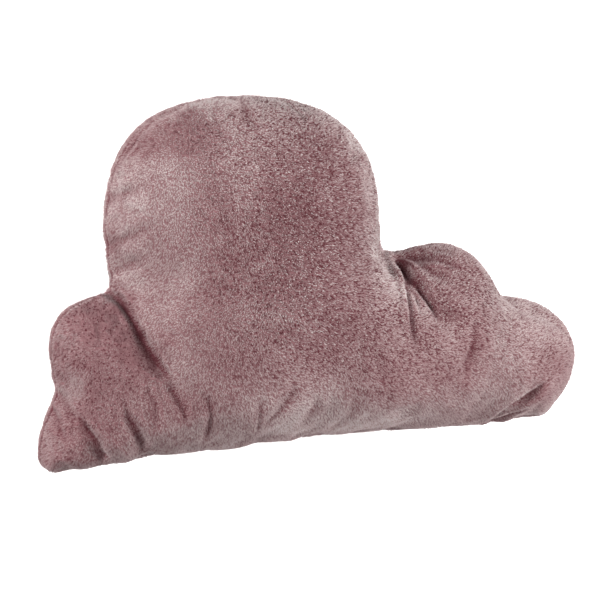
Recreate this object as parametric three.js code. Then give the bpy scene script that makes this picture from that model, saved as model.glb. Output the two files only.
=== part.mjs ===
// A plush cushion in the outline of a cloud, lying on its back: two panels cut to one outline,
// sewn together along a single plain seam and filled.
// Millimetres, +Z up. +X runs along the straight base, +Y from the base to the top of the dome.
import * as THREE from 'three';

// Driving dimensions.
const frontSwell = 84; // how far the front panel stands off the seam where it is fullest
const backSwell = 76; // the same for the back panel, before the surface below flattens it
const seamHeight = 62; // the seam's height above that surface
const seamDroop = 7; // how much lower the seam hangs at the two ends
const halfWidth = 250; // from the middle of the base to either end
const seamDraw = 3; // how deep the stitches pull the seam in between the two panels
const seamHalfWidth = 2.5; // half the width of the groove that this leaves
const restSoftness = 7; // height over which the back panel rounds into its flat patch
const swellPower = 0.5; // 0.5 gives a panel an elliptic section, 1 a straight taper
const shoulderPlace = 1.7; // how far beside a fold its raised shoulders stand, in half-widths
const shoulderShare = 0.35; // their height, as a share of the fold's depth

// The layout of the facets.
const ringCount = 29; // rings of facets from the middle of a panel to its rim
const rimCount = 6 * ringCount; // facets round the rim
const ringEasing = 0.75; // 0 spaces the rings evenly, 1 crowds them against the rim
const middle = new THREE.Vector2(-5, 45); // where the rings start
const rimSamples = 720; // places round the rim from which the swell is worked out

// The sewn outline, clockwise from the left end of the base: where each curve starts, with the
// handles that it leaves by and ends by, how hard its seam holds the panels down, and its share of
// the facets round the rim.
const outlineCurves = [
  { name: 'cornerLobe', x: -228, y: -4, leaveX: -45, leaveY: -12, endX: -7, endY: -19, hold: 1, facets: 9 },
  { name: 'leftLobe', x: -236, y: 61, leaveX: -13, leaveY: 61, endX: -42, endY: -9, hold: 1, facets: 14 },
  { name: 'domeLeft', x: -188, y: 141, leaveX: -20, leaveY: 92, endX: -107, endY: 1, hold: 1, facets: 26 },
  { name: 'domeRight', x: -73, y: 297, leaveX: 77, leaveY: 0, endX: -1, endY: 107, hold: 1, facets: 26 },
  { name: 'innerLobe', x: 54, y: 160, leaveX: 57, leaveY: -2, endX: -42, endY: 74, hold: 1, facets: 16 },
  { name: 'outerLobe', x: 173, y: 114, leaveX: 106, leaveY: -13, endX: 45, endY: 37, hold: 1, facets: 27 },
  { name: 'base', x: 218, y: -2, leaveX: -140, leaveY: 5, endX: 141, endY: 16, hold: 0.25, facets: 56 },
];

// Folds, each a trough from where it is deepest to where it runs out: how far its middle bows to
// the left of the straight line, its half-width and its depth. A bare side, 1 on the left or -1 on
// the right, has no shoulder.
const frontFolds = [
  { name: 'domeOverLeftLobe', x1: -187, y1: 140, x2: -142, y2: 36, bow: -3, width: 9, depth: 16, bareSide: -1 },
  { name: 'besideLeftLobe', x1: -143, y1: 72, x2: -122, y2: 30, bow: 0, width: 9, depth: 3 },
  { name: 'cornerPocket', x1: -235, y1: 60, x2: -236, y2: 26, bow: 2, width: 7, depth: 6 },
  { name: 'cornerDeep', x1: -204, y1: 0, x2: -230, y2: 50, bow: 2, width: 8, depth: 10 },
  { name: 'cornerSoft', x1: -172, y1: 6, x2: -200, y2: 54, bow: 0, width: 10, depth: 6 },
  { name: 'domeRightEdge', x1: 51, y1: 154, x2: 60, y2: 66, bow: -3, width: 8, depth: 7 },
  { name: 'innerLobeDeep', x1: 54, y1: 158, x2: 104, y2: 86, bow: -5, width: 10, depth: 12 },
  { name: 'innerLobeTop', x1: 56, y1: 158, x2: 104, y2: 136, bow: 2, width: 8, depth: 6 },
  { name: 'betweenRightLobes', x1: 173, y1: 115, x2: 120, y2: 88, bow: 0, width: 14, depth: 5 },
  { name: 'outerLobeShort', x1: 108, y1: 84, x2: 98, y2: 44, bow: 0, width: 9, depth: 4 },
  { name: 'rightCornerDeep', x1: 150, y1: 2, x2: 190, y2: 38, bow: 2, width: 8, depth: 8 },
  { name: 'rightCornerSmall', x1: 180, y1: 3, x2: 204, y2: 16, bow: 0, width: 7, depth: 4 },
];
const backFolds = [
  { name: 'domeOverLeftLobe', x1: -187, y1: 140, x2: -140, y2: 72, bow: 0, width: 13, depth: 10 },
  { name: 'cornerPocket', x1: -235, y1: 60, x2: -204, y2: 36, bow: 0, width: 9, depth: 6 },
  { name: 'domeOverInnerLobe', x1: 54, y1: 158, x2: 66, y2: 92, bow: 3, width: 12, depth: 9 },
  { name: 'innerLobeTop', x1: 56, y1: 158, x2: 106, y2: 130, bow: 0, width: 9, depth: 5 },
  { name: 'betweenRightLobes', x1: 173, y1: 115, x2: 120, y2: 88, bow: 0, width: 13, depth: 5 },
];

const outline = outlineCurves.map((curve, index) => {
  const next = outlineCurves[(index + 1) % outlineCurves.length];
  return new THREE.CubicBezierCurve(
    new THREE.Vector2(curve.x, curve.y),
    new THREE.Vector2(curve.x + curve.leaveX, curve.y + curve.leaveY),
    new THREE.Vector2(next.x + curve.endX, next.y + curve.endY),
    new THREE.Vector2(next.x, next.y),
  );
});

// The point of the outline at a share of the way round it, and how hard the seam holds there.
function outlineAt(share) {
  let facets = share * rimCount;
  let index = 0;
  while (facets > outlineCurves[index].facets) {
    facets -= outlineCurves[index].facets;
    index += 1;
  }
  const { hold } = outlineCurves[index];
  return { point: outline[index].getPointAt(facets / outlineCurves[index].facets), hold };
}

function outlineLoop(count) {
  return Array.from({ length: count }, (_, i) => outlineAt(i / count));
}

const rim = outlineLoop(rimSamples).map(({ point, hold }, i, loop) => {
  const before = loop[(i + rimSamples - 1) % rimSamples].point;
  const after = loop[(i + 1) % rimSamples].point;
  return { point, pull: (hold * before.distanceTo(after)) / 2 };
});

// How deep inside the outline a point is. Half-way over a strip or a disc it is half the distance
// to the rim, and a rim that holds less counts as further off.
function depthInside(point) {
  const closest = 0.1;
  const pull = rim.reduce((sum, place) => (
    sum + place.pull / Math.max(point.distanceToSquared(place.point), closest ** 2)
  ), 0);
  return Math.PI / pull;
}

function ringStart(ring) {
  return ring === 0 ? 0 : 1 + 3 * ring * (ring - 1);
}

function ringPoints(ring) {
  const even = ring / ringCount;
  const share = (1 - ringEasing) * even + ringEasing * Math.sin((Math.PI / 2) * even);
  return outlineLoop(6 * ring).map(({ point }) => middle.clone().lerp(point, share));
}

// A panel's points seen from above: its middle, then each ring, the last of which is the rim.
const plan = [middle];
for (let ring = 1; ring <= ringCount; ring += 1) plan.push(...ringPoints(ring));

const depths = plan.map(depthInside);
const fullDepth = Math.max(...depths);

function troughDepth(fold, point) {
  const start = new THREE.Vector2(fold.x1, fold.y1);
  const along = new THREE.Vector2(fold.x2, fold.y2).sub(start);
  const length = along.length();
  along.normalize();
  const reach = point.clone().sub(start);
  const place = reach.dot(along) / length;
  const inside = THREE.MathUtils.clamp(place, 0, 1);
  const aside = along.cross(reach) - fold.bow * 4 * inside * (1 - inside);
  const beyond = ((place - inside) * length) / fold.width;
  const across = Math.abs(aside) / fold.width;
  const trough = Math.exp(-(across ** 2) - beyond ** 2);
  const shoulders = Math.exp(-((across - shoulderPlace) ** 2) - beyond ** 2);
  const rise = fold.bareSide && fold.bareSide * aside > 0 ? 0 : shoulderShare;
  return fold.depth * (1 - inside ** 2) * (trough - rise * shoulders);
}

// How far a panel stands off the seam. Its folds run out where it closes in on the seam.
function panelStand(fullest, folds, index) {
  if (index >= ringStart(ringCount)) return seamHalfWidth;
  const share = (depths[index] / fullDepth) ** swellPower;
  const folded = folds.reduce((sum, fold) => sum + troughDepth(fold, plan[index]), 0);
  return seamHalfWidth + (fullest - seamHalfWidth) * share - folded * Math.min(1, 2 * share);
}

function seamZ(point) {
  return seamHeight - seamDroop * (point.x / halfWidth) ** 2;
}

function restOnSurface(z) {
  if (z > restSoftness) return z;
  if (z < -restSoftness) return 0;
  return (z + restSoftness) ** 2 / (4 * restSoftness);
}

function frontPoint(point, index) {
  const z = seamZ(point) + panelStand(frontSwell, frontFolds, index);
  return new THREE.Vector3(point.x, point.y, z);
}

function backPoint(point, index) {
  const z = seamZ(point) - panelStand(backSwell, backFolds, index);
  return new THREE.Vector3(point.x, point.y, restOnSurface(z));
}

// The seam, drawn in from the rim.
function seamPoint({ point }, index, loop) {
  const before = loop[(index + rimCount - 1) % rimCount].point;
  const after = loop[(index + 1) % rimCount].point;
  const along = after.clone().sub(before).normalize();
  const z = seamZ(point);
  return new THREE.Vector3(point.x + along.y * seamDraw, point.y - along.x * seamDraw, z);
}

// The facets between two rings of a panel, which all face up.
function ringFacets(ring) {
  const outer = ringStart(ring);
  const inner = ringStart(ring - 1);
  const innerCount = Math.max(1, 6 * (ring - 1));
  const facets = [];
  for (let sixth = 0; sixth < 6; sixth += 1) {
    for (let step = 0; step < ring; step += 1) {
      const a = outer + sixth * ring + step;
      const b = outer + ((sixth * ring + step + 1) % (6 * ring));
      const c = inner + ((sixth * (ring - 1) + step) % innerCount);
      const d = inner + ((sixth * (ring - 1) + step + 1) % innerCount);
      facets.push([a, c, b]);
      if (step < ring - 1) facets.push([c, d, b]);
    }
  }
  return facets;
}

// The facets from a panel's rim in to the seam.
function hemFacets(rimStart, seamStart) {
  return Array.from({ length: rimCount }, (_, i) => {
    const next = (i + 1) % rimCount;
    return [
      [rimStart + i, rimStart + next, seamStart + next],
      [rimStart + i, seamStart + next, seamStart + i],
    ];
  }).flat();
}

function cushionGeometry() {
  const front = plan.map(frontPoint);
  const back = plan.map(backPoint);
  const seam = outlineLoop(rimCount).map(seamPoint);
  const backStart = front.length;
  const seamStart = front.length + back.length;
  const rimStart = ringStart(ringCount);

  const upward = [];
  for (let ring = 1; ring <= ringCount; ring += 1) upward.push(...ringFacets(ring));
  const facets = [
    ...upward,
    ...hemFacets(rimStart, seamStart),
    ...upward.map(([a, b, c]) => [backStart + a, backStart + c, backStart + b]),
    ...hemFacets(backStart + rimStart, seamStart).map(([a, b, c]) => [a, c, b]),
  ];

  const geometry = new THREE.BufferGeometry().setFromPoints([...front, ...back, ...seam]);
  geometry.setIndex(facets.flat());
  geometry.computeBoundingBox();
  const centre = geometry.boundingBox.getCenter(new THREE.Vector3());
  geometry.translate(-centre.x, -centre.y, 0);
  geometry.computeVertexNormals();
  return geometry;
}

const plush = new THREE.MeshStandardMaterial({ color: 0x977679, roughness: 0.95, metalness: 0 });

const cushion = new THREE.Mesh(cushionGeometry(), plush);
cushion.name = 'cushion';

const cloudCushion = new THREE.Group();
cloudCushion.add(cushion);

export default cloudCushion;
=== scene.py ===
"""The looks of the cloud cushion: its plush skin with the seam and folds, its pile, and a plain studio.

Metres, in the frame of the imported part. The tables are in millimetres.
"""
import math

import bpy
import numpy as np
from mathutils import Matrix, Vector, kdtree


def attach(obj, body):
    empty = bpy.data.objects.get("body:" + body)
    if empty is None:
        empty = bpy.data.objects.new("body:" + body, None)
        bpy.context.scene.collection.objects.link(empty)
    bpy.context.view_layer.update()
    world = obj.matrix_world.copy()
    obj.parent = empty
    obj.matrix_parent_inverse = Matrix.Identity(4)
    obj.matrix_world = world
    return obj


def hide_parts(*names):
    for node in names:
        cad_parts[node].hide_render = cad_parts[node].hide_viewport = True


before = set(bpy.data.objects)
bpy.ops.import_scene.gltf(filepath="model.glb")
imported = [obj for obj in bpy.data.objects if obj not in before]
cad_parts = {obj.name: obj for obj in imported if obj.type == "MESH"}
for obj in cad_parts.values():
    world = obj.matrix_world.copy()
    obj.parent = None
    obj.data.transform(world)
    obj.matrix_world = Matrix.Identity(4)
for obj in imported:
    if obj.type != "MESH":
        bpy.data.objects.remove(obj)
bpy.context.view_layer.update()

MM = 0.001
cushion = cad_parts["cushion"]
scene = bpy.context.scene

# The camera, by its place round the front panel's face.
CAMERA_YAW = 25  # degrees to the left of the face's normal
CAMERA_PITCH = 9  # degrees towards the top of the dome
CAMERA_AT = Vector((-22, -23, 62)) * MM  # what the middle of the picture shows
CAMERA_DISTANCE = 1.5  # metres
FOCAL_PIXELS, PICTURE_PIXELS = 1768, 600
SENSOR = 36  # mm

# The seam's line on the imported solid, in mm: its height, and its droop at half the cushion's width.
SEAM_HEIGHT, SEAM_DROOP, HALF_WIDTH = 62, 7, 250
SEAM_DEPTH = 5 * MM
SEAM_HALF_WIDTH = 2.2 * MM

# The skin: how it is remeshed, and how it swells as cloth.
VOXEL = 4.15 * MM  # twice as fine once it is subdivided
SMOOTHING, SMOOTHING_PASSES = 0.5, 2
SKIN_INSET = 0.5 * MM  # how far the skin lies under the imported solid's surface, which holds the pile's tips
START_INSET = 2.5 * MM  # how much smaller the cloth starts than the skin ends
SWELL_STEPS = 20
MOST_SWELL = 4 * MM
SPARE_CLOTH = 0.035  # how much longer the cloth is than the filled shape, which makes its wrinkles
STITCH_REACH = 4 * MM  # how far from the seam its stitches hold the cloth
SEAM_REACH = 8 * MM  # how far from the seam the skin keeps the solid's own shape
CLOTH = {
    "quality": 6,
    "mass": 0.3,
    "tension_stiffness": 12,
    "compression_stiffness": 12,
    "shear_stiffness": 6,
    "bending_stiffness": 0.4,
    "use_pressure": True,
    "uniform_pressure_force": 4,
    "pin_stiffness": 1,
}
FLOOR_GAP = 0.2 * MM  # the lowest that the skin and the pile reach

# The pile. A tone of 1 is a step up or down the plush's range of colours.
SEED = 11
PILE_PIECES = 4
TUFTS_A_PIECE = 66_000  # the most, with three triangles to a tuft
FULLNESS = 0.985  # the share of that number that is aimed at
UNDER_SHARE = 0.12  # how dense the pile is under the cushion, as a share of what is seen
UNDERSIDE = -0.15  # the height of a normal below which a place counts as underneath
PILE_LENGTH = 1.9 * MM
TUFT_RADIUS = 0.54  # mm
ROOT_DEPTH = 0.5  # mm that the tufts are sunk in the skin
ROUNDNESS = 0.5  # how far a tuft's shading turns from the skin's to its own
LEAN, LEAN_BY_NAP, LEAN_SPREAD = 38, 14, 9  # degrees from the normal, more where brushed, and at random
SPLAY, SPLAY_MIDDLE, SPLAY_REACH = 0.7, -60, 130  # radians that the nap fans out, and where, in mm
NAP_TURN, NAP_TURN_SPREAD = 0.25, 0.3  # radians that it turns to the right, and at random
SWIRL, RUFFLE = 0.4, 0.15  # radians that it wanders, in wide waves and in narrow ones
LENGTH_AT_SEAM = 0.4  # as a share of the pile's length, because the seam catches it
CAUGHT, FREE = 0.8 * MM, 4 * MM  # how far from the seam it is so short, and from where it is full length
LOCK = 2  # tufts that gather in one lock, on average
GATHERING, GATHERING_BY_NAP = 0.65, 0.15  # how far their tips gather, and how much less where brushed
LEAST_GATHERING, MOST_GATHERING = 0.4, 0.85
TUFT_TONE = 0.7  # how much the tones of a lock's tufts differ
PIT_SHARE, PIT_TONE, PLAIN_TONE = 0.22, -3.8, 0.8  # how many locks stand open, and the tones of all locks
LEAST_GRAIN, ADDED_GRAIN = 0.6, 0.95  # how strong the tones are at the lower left, and what is added
GRAIN_ACROSS, GRAIN_ALONG = (-160, -40), (-120, 0)  # between which mm that comes in, in X and in Y
EVENNESS_BY_NAP = 0.45  # how much weaker they are where brushed
NAP_AND_LIGHT_TONE = 1.5  # how much brushing and the painted highlight lighten the pile, and standing open and the painted shade darken it
SEAM_TONE, SEAM_TONE_REACH = 7, 1.7 * MM  # how dark the painted shade in the seam's dip is, and how wide
CREASE_SHADE = 1  # how much painted shade darkens the pile and skin in the creases, in tones a millimetre of a crease's depth


def smooth_step(x, low, high):
    t = np.clip((x - low) / (high - low), 0, 1)
    return t * t * (3 - 2 * t)


def unit(v):
    return v / np.maximum(np.linalg.norm(v, axis=1, keepdims=True), 1e-12)


class Waves:
    """Smooth noise of about -1 to 1, from waves of one range of lengths, in mm, in seeded directions."""

    def __init__(self, shortest, longest, seed, count=14):
        rng = np.random.default_rng(seed)
        ways = unit(rng.normal(size=(count, 3)))
        lengths = rng.uniform(shortest, longest, (count, 1)) * MM
        self.ways = ways * 2 * math.pi / lengths
        self.starts = rng.uniform(0, 2 * math.pi, count)

    def __call__(self, places):
        total = np.zeros(len(places))
        for way, start in zip(self.ways, self.starts):
            total += np.sin(places @ way + start)
        return total * 1.4 / math.sqrt(len(self.starts))


def add(name, data):
    piece = bpy.data.objects.new(name, data)
    scene.collection.objects.link(piece)
    return piece


def numbers(items, name, width=1, kind=np.float32):
    """One property of all the items, as an array with a row for each."""
    found = np.empty(len(items) * width, kind)
    items.foreach_get(name, found)
    return found.reshape(-1, width) if width > 1 else found


def places_of(mesh):
    return numbers(mesh.vertices, "co", 3).astype(float)


def normals_of(mesh):
    return numbers(mesh.vertex_normals, "vector", 3).astype(float)


def put(mesh, places):
    mesh.vertices.foreach_set("co", places.astype(np.float32).ravel())
    mesh.update()


def add_values(mesh, name, values):
    mesh.attributes.new(name, "FLOAT", "POINT").data.foreach_set("value", values.astype(np.float32))


# The camera.
def make_camera():
    yaw, pitch = math.radians(CAMERA_YAW), math.radians(CAMERA_PITCH)
    back = Vector((-math.sin(yaw) * math.cos(pitch), math.sin(pitch), math.cos(yaw) * math.cos(pitch)))
    right = Vector((0, 1, 0)).cross(back).normalized()
    up = back.cross(right)
    data = bpy.data.cameras.new("camera")
    data.sensor_width = SENSOR
    data.lens = FOCAL_PIXELS / PICTURE_PIXELS * SENSOR
    data.clip_end = 20
    camera = add("camera", data)
    turn = Matrix((right, up, back)).transposed()
    camera.matrix_world = Matrix.Translation(CAMERA_AT + back * CAMERA_DISTANCE) @ turn.to_4x4()
    scene.camera = camera


make_camera()


# The skin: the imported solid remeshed, swollen as cloth, and subdivided.
def joined(mesh):
    """A mesh's places without the repeats, and which of them each of its vertices has."""
    kept, which = np.unique(places_of(mesh).round(6), axis=0, return_inverse=True)
    return kept, which.ravel()


def seam_of(mesh):
    """The seam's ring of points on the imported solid, in order, closed, one a millimetre."""
    kept, which = joined(mesh)
    height = SEAM_HEIGHT - SEAM_DROOP * (kept[:, 0] / MM / HALF_WIDTH) ** 2
    on_seam = np.abs(kept[:, 2] / MM - height) < 1
    after = {}
    for a, b in numbers(mesh.edges, "vertices", 2, np.int32):
        a, b = int(which[a]), int(which[b])
        if on_seam[a] and on_seam[b]:
            after.setdefault(a, set()).add(b)
            after.setdefault(b, set()).add(a)
    ring = [min(after)]
    while True:
        ahead = [n for n in sorted(after[ring[-1]]) if n not in ring[-2:] and n != ring[0]]
        if not ahead or len(ring) > len(after):
            break
        ring.append(ahead[0])
    corners = kept[ring + ring[:1]]
    steps = np.linalg.norm(np.diff(corners, axis=0), axis=1)
    far = np.concatenate([[0], np.cumsum(steps)])
    at = np.arange(0, far[-1], MM)
    return np.stack([np.interp(at, far, corners[:, i]) for i in range(3)], 1)


def distance_to_seam(places):
    tree = kdtree.KDTree(len(seam))
    for i, p in enumerate(seam):
        tree.insert(p, i)
    tree.balance()
    return np.array([tree.find(p)[2] for p in places])


def applied(piece):
    """The mesh that a piece's modifiers make, in place of its own."""
    bpy.context.view_layer.update()
    made = bpy.data.meshes.new_from_object(piece.evaluated_get(bpy.context.evaluated_depsgraph_get()))
    piece.modifiers.clear()
    piece.data = made
    return made


def swell(piece, stitched):
    """Blows the skin up a little as cloth that is held where it is stitched."""
    group = piece.vertex_groups.new(name="stitched")
    for index in np.flatnonzero(stitched > 0.01):
        group.add([int(index)], float(stitched[index]), "REPLACE")
    cloth = piece.modifiers.new("cloth", "CLOTH").settings
    for name, value in CLOTH.items():
        setattr(cloth, name, value)
    cloth.effector_weights.gravity = 0
    cloth.vertex_group_mass = group.name
    cloth.shrink_min = -SPARE_CLOTH
    scene.frame_start, scene.frame_end = 1, SWELL_STEPS
    for step in range(1, SWELL_STEPS + 1):
        scene.frame_set(step)
    made = applied(piece)
    scene.frame_set(1)
    piece.vertex_groups.clear()
    return made


def make_skin():
    mesh = bpy.data.meshes.new("cushion_skin")
    kept, which = joined(cushion.data)
    corners = which[numbers(cushion.data.loops, "vertex_index", kind=np.int32)].reshape(-1, 3)
    mesh.from_pydata(kept.tolist(), [], corners.tolist())
    skin = add("cushion_skin", mesh)
    remesh = skin.modifiers.new("remesh", "REMESH")
    remesh.mode, remesh.voxel_size = "VOXEL", VOXEL
    smooth = skin.modifiers.new("smooth", "SMOOTH")
    smooth.factor, smooth.iterations = SMOOTHING, SMOOTHING_PASSES
    mesh = applied(skin)
    start = places_of(mesh) - normals_of(mesh) * (SKIN_INSET + START_INSET)
    put(mesh, start)
    away = distance_to_seam(start)
    mesh = swell(skin, np.exp(-((away / STITCH_REACH) ** 2)))
    move = places_of(mesh) - start
    far = np.linalg.norm(move, axis=1, keepdims=True)
    start += move * np.minimum(1, MOST_SWELL / np.maximum(far, 1e-9))
    put(mesh, start)
    near_seam = np.exp(-((away / SEAM_REACH) ** 2))[:, None]
    put(mesh, start + normals_of(mesh) * near_seam * START_INSET)
    finer = skin.modifiers.new("finer", "SUBSURF")
    finer.levels = finer.render_levels = 1
    applied(skin)
    return skin


seam = seam_of(cushion.data)
skin = make_skin()


# The front panel's creases, each along a smooth line from where it is deepest: its half-widths on the left
# and on the right of its way, its depth and its points. A swelling has a depth below zero and is highest
# midway.
CREASES = [
    ("dome_over_left_lobe", (2.5, 5), 4,
     (-187, -8), (-184, -20), (-179, -35), (-172, -50), (-164, -64), (-154, -84)),
    ("dome_left_bulge", (10, 4), -2,
     (-184, 14), (-177, -8), (-173, -24), (-166, -40), (-157, -56), (-146, -76)),
    ("left_lobe_neck", (5, 8), -2, (-208, -2), (-198, -12), (-191, -20), (-186, -32)),
    ("left_lobe_second", (3, 4), 1.5, (-181, -77), (-176, -87), (-175, -100), (-172, -114)),
    ("left_lobe_third", (4, 4), 2.5, (-161, -78), (-155, -91), (-150, -106)),
    ("left_corner_side", (2, 3), 1.5, (-240, -97), (-239, -105), (-239, -113), (-236, -122)),
    ("left_corner_pocket", (2.5, 2.5), 1.5, (-234, -86), (-232, -96), (-230, -106)),
    ("left_corner_deep", (3.5, 2.5), 3.5,
     (-209, -132), (-214, -126), (-219, -116), (-225, -105), (-231, -91)),
    ("left_corner_second", (4, 2.5), 3, (-180, -122), (-188, -110), (-195, -97), (-199, -82)),
    ("dome_right_ridge", (10, 4), -3, (56, 14), (52, -6), (47, -22), (44, -38), (45, -62)),
    ("dome_right_side", (22, 14), -2, (2, 132), (28, 110), (44, 80), (50, 50), (52, 24)),
    ("dome_right_valley", (3.5, 3), 3.5,
     (64, 4), (60, -4), (55, -12), (51, -24), (49, -40), (50, -56), (50, -72)),
    ("inner_lobe_deep", (4, 4), 6, (63, 4), (65, -4), (68, -11), (73, -22), (78, -33), (81, -46)),
    ("inner_lobe_fine", (2.5, 2.5), 2, (60, -10), (61, -20), (61, -34)),
    ("inner_lobe_wedge", (6, 5), 2.5, (68, 8), (80, 4), (87, -2), (102, -8)),
    ("inner_lobe_ray", (3, 3), 2.5, (64, 10), (84, 9), (104, 5), (122, -8)),
    ("right_lobes_waist", (10, 14), -2, (180, -20), (166, -38), (146, -48), (126, -56)),
    ("outer_lobe_swell", (18, 14), -2.5, (162, -40), (182, -50), (200, -56), (218, -70), (232, -92)),
    ("base_swell", (14, 14), -3.5,
     (-190, -146), (-110, -149), (-20, -150), (80, -149), (160, -146), (222, -136)),
    ("outer_lobe_short", (7, 5), 1.8, (115, -48), (111, -62), (103, -76), (95, -90)),
    ("right_corner_deep", (2.5, 4), 3.5, (146, -134), (154, -120), (170, -116), (185, -108), (204, -94)),
    ("right_corner_small", (3, 3), 2.5, (160, -140), (170, -132), (186, -126)),
    ("base_gather_1", (3.5, 3.5), 2, (-130, -118), (-132, -102), (-136, -86), (-146, -72)),
    ("base_gather_2", (4, 4), 2, (-84, -108), (-76, -98), (-67, -84), (-68, -66)),
    ("base_gather_3", (4, 4), 1.5, (-90, -112), (-93, -96), (-96, -80)),
    ("base_gather_4", (5, 5), 1, (-48, -112), (-45, -98), (-42, -82)),
    ("base_gather_5", (5, 5), 1, (-15, -120), (-9, -104), (-10, -78)),
    ("base_gather_6", (5, 5), 1, (12, -76), (13, -64), (16, -50)),
    ("dome_seam_pucker_1", (4, 4), 1.5, (-186, 100), (-174, 110), (-158, 120)),
    ("dome_seam_pucker_2", (4, 4), 1.5, (-196, 64), (-182, 77), (-164, 88)),
    ("dome_seam_pucker_3", (4, 4), 1.5, (-196, 28), (-180, 44), (-162, 56)),
    ("dome_seam_pucker_4", (4, 4), 1.5, (-194, 6), (-180, 18), (-168, 34)),
    ("dome_top_pucker", (4, 4), 1.5, (-84, 148), (-86, 136), (-92, 122)),
]
CREASE_UNEVENNESS = 0.18  # how much a crease's width varies on its way
CREASE_FADE, SWELLING_RISE = 0.5, 0.3  # over which share of its way a crease fades, and a swelling rises
CREASE_POINT = 0.6  # how wide a crease is at its shallow end, as a share
SHOULDER = 0.3  # height of the swelling on either side of a crease, as a share of its depth
SHOULDER_AT, SHOULDER_WIDTH = 2.1, 0.9  # where that swelling is, in the crease's half-widths
DEEPEST_SHADE = 4  # mm past which a crease's painted shade gets no darker


def smooth_line(points, steps=8):
    """A smooth line through the points."""
    p = np.array([points[0], *points, points[-1]], float)
    line = []
    for a, b, c, d in zip(p, p[1:], p[2:], p[3:]):
        for t in np.arange(steps) / steps:
            line.append(((2 * b) + (c - a) * t + (2 * a - 5 * b + 4 * c - d) * t**2
                         + (3 * b - a - 3 * c + d) * t**3) / 2)
    return np.array([*line, p[-1]])


def beside(line, spots):
    """How far each spot is from the line, how far along it, from 0 to 1, and whether it is on its left."""
    steps = np.linalg.norm(np.diff(line, axis=0), axis=1)
    start = np.concatenate([[0], np.cumsum(steps)])
    nearest, along, left = np.full(len(spots), np.inf), np.zeros(len(spots)), np.zeros(len(spots), bool)
    for i, step in enumerate(steps):
        way = (line[i + 1] - line[i]) / step
        t = np.clip((spots - line[i]) @ way, 0, step)
        far = np.linalg.norm(spots - line[i] - t[:, None] * way, axis=1)
        closer = far < nearest
        nearest[closer] = far[closer]
        along[closer] = (start[i] + t[closer]) / start[-1]
        away = spots[closer] - line[i]
        left[closer] = way[0] * away[:, 1] > way[1] * away[:, 0]
    return nearest, along, left


def carve(mesh):
    """Presses the creases and the seam into the skin. Returns how much painted shade the creases get, as a
    depth in mm.
    """
    places, normals = places_of(mesh), normals_of(mesh)
    front = smooth_step(normals[:, 2], -0.1, 0.25)
    unevenness = 1 + CREASE_UNEVENNESS * Waves(25, 60, 5)(places)
    cut, crease_shade_mm = np.zeros(len(places)), np.zeros(len(places))
    for _name, (left_width, right_width), depth, *points in CREASES:
        far, along, left = beside(smooth_line(points), places[:, :2] / MM)
        fade = smooth_step(1 - along, 0, CREASE_FADE)
        if depth < 0:
            fade *= smooth_step(along, 0, SWELLING_RISE)
        width = np.where(left, left_width, right_width) * unevenness
        far = far / width / (CREASE_POINT + (1 - CREASE_POINT) * fade)
        shape = np.exp(-(far**2))
        if depth > 0:
            # The crease's painted shade, darkest along its middle.
            crease_shade_mm += min(depth, DEEPEST_SHADE) * fade * front * shape**2
            shape -= SHOULDER * np.exp(-(((far - SHOULDER_AT) / SHOULDER_WIDTH) ** 2))
        cut += depth * MM * fade * front * shape
    cut += SEAM_DEPTH * np.exp(-((distance_to_seam(places) / SEAM_HALF_WIDTH) ** 2))
    places -= normals * cut[:, None]
    places[:, 2] = np.maximum(places[:, 2], FLOOR_GAP)
    put(mesh, places)
    return crease_shade_mm


crease_shade_mm = carve(skin.data)


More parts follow.
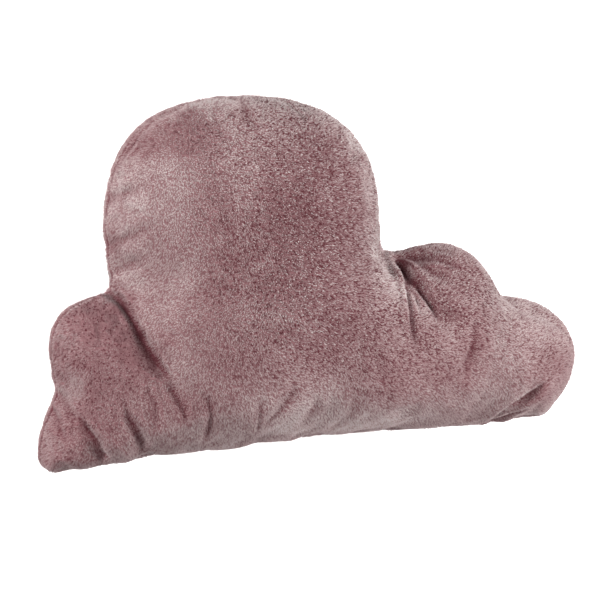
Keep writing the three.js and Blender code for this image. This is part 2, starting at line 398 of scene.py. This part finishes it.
# Where the front panel's pile is brushed flat, which looks pale, or stands open, which looks dark, and where
# highlight is painted along the rims and shade in the creases and along the base: the middle, half-length and
# half-width of the patch, the way that its length runs in degrees from +X, and how pale it is.
NAP_AND_LIGHT_PATCHES = [
    ("dome_open", (-28, 50), 80, 52, 98, -1.5),
    ("dome_open_low", (-50, -30), 42, 26, 150, -0.6),
    ("dome_open_middle", (-66, 2), 40, 30, 100, -0.7),
    ("dome_open_top", (-128, 114), 30, 12, 10, -0.4),
    ("dome_brushed_strip", (-101, 80), 68, 9, 98, 0.5),
    # Brushed pile on the dome's left with painted highlight over it, and painted sheen along the dome's rims.
    ("dome_left_brushed_painted_highlight", (-164, 40), 76, 34, 90, 0.8),
    ("dome_corner_rim_painted_sheen", (-178, 92), 46, 14, 62, 0.9),
    ("dome_top_rim_painted_sheen", (-112, 144), 56, 8, 8, 0.9),
    ("dome_right_rim_painted_sheen", (42, 25), 60, 7, 92, 0.9),
    ("dome_shoulder_rim_painted_sheen", (26, 108), 42, 12, -48, 0.7),
    ("dome_brushed_spot", (-12, 102), 20, 12, 20, 0.5),
    ("left_lobe_open", (-212, -50), 44, 26, 100, -1.0),
    # Painted shade on the left lobe's top, where the pile also stands open, and beside its crease.
    ("left_lobe_top_open_painted_shade", (-204, -14), 34, 13, 10, -1.5),
    ("left_lobe_crease_painted_shade", (-190, -34), 38, 12, -64, -1.6),
    ("left_lobe_edge", (-238, -60), 30, 7, 90, 0.1),
    ("left_corner_edge", (-234, -88), 14, 8, 90, 0.1),
    ("left_corner_open", (-190, -100), 40, 20, 20, -0.2),
    ("left_corner_side", (-245, -106), 14, 6, 90, -0.4),
    # Painted highlight on the dome's right flank.
    ("dome_right_flank_painted_highlight", (51, -4), 28, 5, -68, 0.6),
    # Painted shade on the inner lobe's top and beside its crease.
    ("inner_lobe_top_painted_shade", (104, -2), 36, 20, -16, -1.2),
    ("inner_lobe_crease_painted_shade", (74, -20), 30, 6, -56, -0.8),
    ("inner_lobe_end_painted_shade", (86, -36), 20, 12, -50, -0.8),
    ("outer_lobe_top", (184, -50), 40, 14, -24, 0.6),
    ("outer_lobe_middle", (124, -70), 44, 24, 0, 0.4),
    ("right_tip", (174, -76), 30, 20, -40, -0.3),
    ("outer_lobe_short", (106, -68), 24, 6, 62, -0.7),
    ("right_corner_open", (178, -124), 30, 8, 18, -0.7),
    ("base_left", (-96, -104), 70, 20, 0, 0.7),
    ("base_brushed", (-128, -66), 34, 18, 0, 0.4),
    # Painted shade along the base's edge.
    ("base_edge_painted_shade", (10, -150), 230, 7, 0, -1.2),
    ("base_middle", (30, -104), 120, 20, 2, 0.5),
    ("middle_open", (-20, -52), 60, 24, 10, -0.3),
]
PATCH_CORE, PATCH_END = 0.5, 1.4  # between which shares of its size a patch fades
PATCH_DRIFT = 6  # mm that the patches' edges wander
NAP_UNEVENNESS = 0.25
DARKEST_NAP, PALEST_NAP = -1.8, 1.3


def nap_and_light_at(places, normals):
    """How pale the pile looks: below 0 where it stands open or has painted shade, above 0 where brushed or
    painted light.
    """
    drift = np.stack([Waves(18, 45, 7)(places), Waves(18, 45, 8)(places)], 1)
    spots = places[:, :2] / MM + PATCH_DRIFT * drift
    nap = NAP_UNEVENNESS * Waves(30, 90, 9)(places)
    front = smooth_step(normals[:, 2], -0.2, 0.2)
    for _name, middle, half_length, half_width, turn, paleness in NAP_AND_LIGHT_PATCHES:
        way = np.array([math.cos(math.radians(turn)), math.sin(math.radians(turn))])
        away = spots - middle
        out = np.hypot(away @ way / half_length, (away[:, 1] * way[0] - away[:, 0] * way[1]) / half_width)
        nap += paleness * front * (1 - smooth_step(out, PATCH_CORE, PATCH_END))
    return np.clip(nap, DARKEST_NAP, PALEST_NAP)


# The pile: three-sided tufts, sunk in the skin, whose tips lean with the nap and gather in locks.
def spread(mesh, rng):
    """Seeded places all over the skin, denser where seen, with their normals and the creases' painted shade.
    """
    mesh.calc_loop_triangles()
    corners = numbers(mesh.loop_triangles, "vertices", 3, np.int32)
    places, normals = places_of(mesh), normals_of(mesh)
    a, b, c = (places[corners[:, i]] for i in range(3))
    area = np.linalg.norm(np.cross(b - a, c - a), axis=1) / 2
    facing = unit(np.cross(b - a, c - a))[:, 2]
    share = area * (UNDER_SHARE + (1 - UNDER_SHARE) * smooth_step(facing, -0.9, -0.2))
    share *= PILE_PIECES * TUFTS_A_PIECE * FULLNESS / share.sum()
    count = np.floor(share + rng.uniform(0, 1, len(share))).astype(int)
    face = np.repeat(np.arange(len(corners)), count)
    u, v = rng.uniform(0, 1, (2, len(face)))
    over = u + v > 1
    u[over], v[over] = 1 - u[over], 1 - v[over]
    weights = np.stack([1 - u - v, u, v], 1)[:, :, None]
    at = (places[corners[face]] * weights).sum(1)
    way = unit((normals[corners[face]] * weights).sum(1))
    return at, way, (crease_shade_mm[corners[face]] * weights[:, :, 0]).sum(1)


def comb(roots, normals, pale, away, rng):
    """Which way each tuft leans, down and outwards over the panel, and how long it is."""
    splay = SPLAY * np.clip((roots[:, 0] / MM - SPLAY_MIDDLE) / SPLAY_REACH, -1, 1)
    swirl = SWIRL * Waves(60, 140, 1)(roots) + RUFFLE * Waves(7, 16, 3)(roots)
    turn = splay + swirl + rng.normal(0, NAP_TURN_SPREAD, len(roots)) + NAP_TURN
    nap = np.stack([np.sin(turn), -np.cos(turn), np.zeros(len(roots))], 1)
    nap = unit(nap - normals * (nap * normals).sum(1, keepdims=True))
    lean = np.radians(LEAN + LEAN_BY_NAP * pale + rng.normal(0, LEAN_SPREAD, len(roots)))[:, None]
    way = normals * np.cos(lean) + nap * np.sin(lean)
    length = PILE_LENGTH * rng.uniform(0.8, 1.25, (len(roots), 1))
    length *= LENGTH_AT_SEAM + (1 - LENGTH_AT_SEAM) * smooth_step(away, CAUGHT, FREE)[:, None]
    return way, length


def gather(tips, pale, rng):
    """Draws each tip towards the tip of the nearest leading tuft. Returns which tuft leads each."""
    count = len(tips)
    leaders = rng.permutation(count)[: count // LOCK]
    tree = kdtree.KDTree(len(leaders))
    for i in leaders:
        tree.insert(tips[i], int(i))
    tree.balance()
    leader = np.array([tree.find(p)[1] for p in tips])
    pull = np.clip(GATHERING - GATHERING_BY_NAP * pale, LEAST_GATHERING, MOST_GATHERING)
    pull += rng.uniform(-0.2, 0.15, count)
    tips += (tips[leader] - tips) * pull[:, None]
    return leader


def seam_shade(away):
    """How much painted shade darkens the seam's dip, by the distance to the seam."""
    return SEAM_TONE * np.exp(-((away / SEAM_TONE_REACH) ** 2))


def make_pile(mesh):
    rng = np.random.default_rng(SEED)
    roots, normals, sunk = spread(mesh, rng)
    count = len(roots)
    pale = nap_and_light_at(roots, normals)
    away = distance_to_seam(roots)
    way, length = comb(roots, normals, pale, away, rng)
    tips = roots + way * length
    leader = gather(tips, pale, rng)

    side = unit(np.cross(way, normals + 0.01))
    other = np.cross(way, side)
    spin = rng.uniform(0, 2 * math.pi, count)
    radius = (TUFT_RADIUS * rng.uniform(0.8, 1.2, count) * MM)[:, None]
    points, facing = np.empty((count, 4, 3)), np.empty((count, 4, 3))
    points[:, 0] = tips
    facing[:, 0] = unit(normals + ROUNDNESS * way)
    for k in range(3):
        angle = (spin + 2 * math.pi * k / 3)[:, None]
        outward = side * np.cos(angle) + other * np.sin(angle)
        points[:, k + 1] = roots - normals * ROOT_DEPTH * MM + radius * outward
        facing[:, k + 1] = unit(normals + ROUNDNESS * outward)
    points[:, :, 2] = np.maximum(points[:, :, 2], FLOOR_GAP)

    added = smooth_step(roots[:, 0] / MM, *GRAIN_ACROSS) * smooth_step(roots[:, 1] / MM, *GRAIN_ALONG)
    grain = (LEAST_GRAIN + ADDED_GRAIN * added) * (1 - EVENNESS_BY_NAP * pale)
    lock_tone = np.where(rng.uniform(0, 1, count) < PIT_SHARE, PIT_TONE, PLAIN_TONE)
    tone = grain * (TUFT_TONE * rng.normal(0, 1, count) + lock_tone[leader])
    # Painted highlight and shade come in with the nap patches, and painted shade in the seam's dip and in the
    # creases.
    tone += NAP_AND_LIGHT_TONE * pale - seam_shade(away) - CREASE_SHADE * sunk

    # The pieces follow each other from left to right, and the tufts underneath come last.
    order = np.argsort(np.where(normals[:, 2] < UNDERSIDE, 9, roots[:, 0]), kind="stable")
    pieces = []
    for number, chosen in enumerate(np.array_split(order, PILE_PIECES)):
        pieces.append(tufts(f"pile_{number + 1}", points[chosen], facing[chosen], tone[chosen]))
    return pieces


def tufts(name, points, facing, tone):
    """A piece of pile. Each tuft is a tip and three root corners, with three faces."""
    count = len(points)
    mesh = bpy.data.meshes.new(name)
    mesh.vertices.add(count * 4)
    mesh.vertices.foreach_set("co", points.astype(np.float32).ravel())
    first = np.arange(count)[:, None] * 4
    sides = np.array([[0, 1, 2], [0, 2, 3], [0, 3, 1]])
    corners = (first[:, :, None] + sides[None]).reshape(-1)
    mesh.loops.add(count * 9)
    mesh.loops.foreach_set("vertex_index", corners.astype(np.int32))
    mesh.polygons.add(count * 3)
    mesh.polygons.foreach_set("loop_start", np.arange(0, count * 9, 3, dtype=np.int32))
    mesh.update(calc_edges=True)
    mesh.polygons.foreach_set("use_smooth", np.ones(count * 3, bool))
    # The pile is shaded along with the skin that it grows from.
    shading = mesh.attributes.new("custom_normal", "FLOAT_VECTOR", "POINT")
    shading.data.foreach_set("vector", facing.astype(np.float32).ravel())
    add_values(mesh, "tip", np.tile([1, 0, 0, 0], count))
    add_values(mesh, "tone", np.repeat(tone, 4))
    # Each tuft has a cell of its own on the map, with its tip in the middle.
    across = math.ceil(math.sqrt(count))
    cell = np.stack([np.arange(count) % across, np.arange(count) // across], 1)
    turn = 2 * math.pi * (np.arange(3) / 3 + 1 / 12)
    rim = 0.5 + 0.46 * np.stack([np.cos(turn), np.sin(turn)], 1)
    spots = np.concatenate([[[0.5, 0.5]], rim])[sides.reshape(-1)]
    layer = mesh.uv_layers.new(name="OFBake")
    layer.uv.foreach_set("vector", ((cell[:, None] + spots[None]) / across).astype(np.float32).ravel())
    return add(name, mesh)


pile = make_pile(skin.data)


# Materials. Both kinds of plush look up their colour by a value that rises from the pits to the tips.
PLUSH_COLOURS = [
    (0.1, (0.075, 0.02, 0.025)),
    (0.42, (0.18, 0.096, 0.101)),
    (0.6, (0.27, 0.192, 0.192)),
    (0.9, (0.47, 0.43, 0.415)),
]
PATCHES_SCALE, PATCHES_SHARE = 11, 0.35
GRAIN_SCALE, GRAIN_SHARE = 420, 0.3
TONE_SHARE = 0.09
# How much lighter each tuft is painted towards its tip, which paints shade towards its root.
TIP_SHARE, TIP_BASE = 0.3, 0.04


def plush(name, tufted):
    material = bpy.data.materials.new(name)
    material.use_nodes = True
    nodes, links = material.node_tree.nodes, material.node_tree.links
    shader = nodes["Principled BSDF"]
    shader.inputs["Roughness"].default_value = 0.85
    shader.inputs["Specular IOR Level"].default_value = 0
    shader.inputs["Sheen Weight"].default_value = 0.24
    shader.inputs["Sheen Roughness"].default_value = 0.5
    shader.inputs["Sheen Tint"].default_value = (1, 0.86, 0.85, 1)
    place = nodes.new("ShaderNodeTexCoord").outputs["Object"]

    def noise(scale):
        node = nodes.new("ShaderNodeTexNoise")
        links.new(place, node.inputs["Vector"])
        node.inputs["Scale"].default_value = scale
        node.inputs["Detail"].default_value = 2
        return node.outputs["Fac"]

    def attribute(name):
        node = nodes.new("ShaderNodeAttribute")
        node.attribute_name = name
        return node.outputs["Fac"]

    def maths(operation, a, b):
        node = nodes.new("ShaderNodeMath")
        node.operation = operation
        for socket, value in zip(node.inputs, (a, b)):
            if isinstance(value, (int, float)):
                socket.default_value = value
            else:
                links.new(value, socket)
        return node.outputs[0]

    def ramp(value, stops):
        node = nodes.new("ShaderNodeValToRGB")
        links.new(value, node.inputs["Fac"])
        line = node.color_ramp.elements
        line[0].position, line[0].color = stops[0][0], (*stops[0][1], 1)
        line[1].position, line[1].color = stops[-1][0], (*stops[-1][1], 1)
        for at, colour in stops[1:-1]:
            line.new(at).color = (*colour, 1)
        return node.outputs["Color"]

    patches = maths("MULTIPLY", noise(PATCHES_SCALE), PATCHES_SHARE)
    grain = maths("MULTIPLY", noise(GRAIN_SCALE), GRAIN_SHARE)
    value = maths("ADD", maths("ADD", patches, grain), maths("MULTIPLY", attribute("tone"), TONE_SHARE))
    if tufted:
        # Painted shade towards each tuft's root, lighter towards its tip.
        tip = maths("POWER", attribute("tip"), 0.5)
        value = maths("ADD", value, maths("MULTIPLY", tip, TIP_SHARE))
        value = maths("SUBTRACT", value, TIP_BASE)
    links.new(ramp(value, PLUSH_COLOURS), shader.inputs["Base Color"])
    return material


# The skin gets the same painted shade in the seam's dip and in the creases.
add_values(skin.data, "tone", -seam_shade(distance_to_seam(places_of(skin.data))) - CREASE_SHADE * crease_shade_mm)
skin.data.materials.clear()
skin.data.materials.append(plush("plush_ground", False))
skin.data.polygons.foreach_set("use_smooth", np.ones(len(skin.data.polygons), bool))
pile_material = plush("plush_pile", True)
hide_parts("cushion")
for piece in pile:
    piece.data.materials.append(pile_material)
for piece in [skin, *pile]:
    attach(piece, "root")


# The studio: a pale floor, an even white sky, and a round lamp on either side.
FLOOR_HALF = 3
LAMPS = [("key", Vector((-0.8, 0.35, 0.5))), ("fill", Vector((0.7, 0.08, 0.65)))]
LAMPS_AROUND = Vector((0, 0, 0.05))
LAMP_DISTANCE, LAMP_SIZE, LAMP_WATTS = 1.8, 0.9, 40


def make_studio():
    floor_mesh = bpy.data.meshes.new("floor")
    corners = [(x * FLOOR_HALF, y * FLOOR_HALF, 0) for x, y in ((-1, -1), (1, -1), (1, 1), (-1, 1))]
    floor_mesh.from_pydata(corners, [], [(0, 1, 2, 3)])
    floor = add("floor", floor_mesh)
    white = bpy.data.materials.new("floor_white")
    white.use_nodes = True
    shader = white.node_tree.nodes["Principled BSDF"]
    shader.inputs["Base Color"].default_value = (0.93, 0.93, 0.93, 1)
    shader.inputs["Emission Color"].default_value = (1, 1, 1, 1)
    shader.inputs["Emission Strength"].default_value = 0.45
    shader.inputs["Roughness"].default_value = 0.9
    shader.inputs["Specular IOR Level"].default_value = 0.1
    floor_mesh.materials.append(white)

    world = bpy.data.worlds.new("studio")
    scene.world = world
    world.use_nodes = True
    sky = world.node_tree.nodes["Background"]
    sky.inputs["Color"].default_value = (1, 1, 1, 1)
    sky.inputs["Strength"].default_value = 1

    for name, way in LAMPS:
        data = bpy.data.lights.new(name, "AREA")
        data.shape, data.size, data.energy = "DISK", LAMP_SIZE, LAMP_WATTS
        lamp = add(name, data)
        lamp.location = LAMPS_AROUND + way.normalized() * LAMP_DISTANCE
        lamp.rotation_mode = "QUATERNION"
        lamp.rotation_quaternion = way.to_track_quat("Z", "Y")


make_studio()
scene.view_settings.view_transform = "Standard"
